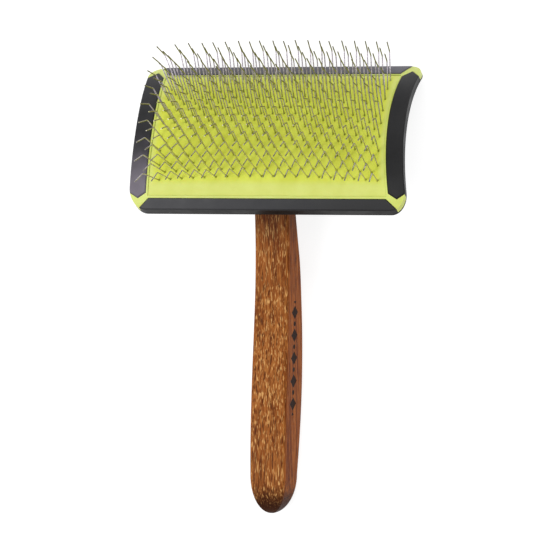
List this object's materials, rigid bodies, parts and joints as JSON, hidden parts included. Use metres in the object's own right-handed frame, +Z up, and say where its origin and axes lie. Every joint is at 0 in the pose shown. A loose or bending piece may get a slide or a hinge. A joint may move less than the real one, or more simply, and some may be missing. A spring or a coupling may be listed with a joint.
{
  "type": "slicker brush",
  "caption": "Pet grooming slicker brush: curved rectangular head of bent wire tines on a cushioned pad, rubber bumpers all round and a wooden handle.",
  "frame": {"origin": "centre of the footprint of the brush lying on its back, on the surface it lies on", "axes": "+Z up, the way the tines point; +Y from the handle to the head's far edge; X across the head"},
  "size_m": [0.1414, 0.2348, 0.0601],
  "materials": {
    "wood": "oiled hardwood, fine open grain",
    "black_shell": "moulded black ABS, fine texture",
    "lime_plastic": "moulded lime plastic, satin gloss",
    "black_rubber": "soft black rubber bumper, satin",
    "lime_rubber": "smooth lime rubber sheet",
    "cloth": "woven foundation cloth",
    "foam": "soft closed-cell foam",
    "wire": "bright drawn steel wire",
    "screw_steel": "zinc plated steel"
  },
  "bodies": {
    "body": {"handle": "wood", "back_shell": "black_shell", "front_frame": "lime_plastic", "bumper_near": "black_rubber", "bumper_far": "black_rubber", "bumper_left": "black_rubber", "bumper_right": "black_rubber", "foam_cushion": "foam", "handle_screws": "screw_steel"},
    "pin_bed": {"pad": "lime_rubber", "pad_backing": "cloth", "pin_crowns": "wire", "pin_row_01": "wire", "pin_row_02": "wire", "pin_row_03": "wire", "pin_row_04": "wire", "pin_row_05": "wire", "pin_row_06": "wire", "pin_row_07": "wire", "pin_row_08": "wire", "pin_row_09": "wire", "pin_row_10": "wire", "pin_row_11": "wire", "pin_row_12": "wire", "pin_row_13": "wire", "pin_row_14": "wire", "pin_row_15": "wire", "pin_row_16": "wire", "pin_row_17": "wire"}
  },
  "joints": [
    {"name": "pad_press", "type": "slide", "parent": "body", "child": "pin_bed", "axis": [0, 0.3518, 0.9361], "range_m": [-0.0012, 0], "stiffness_N_per_m": 9000, "deforming": ["foam_cushion"]}
  ]
}
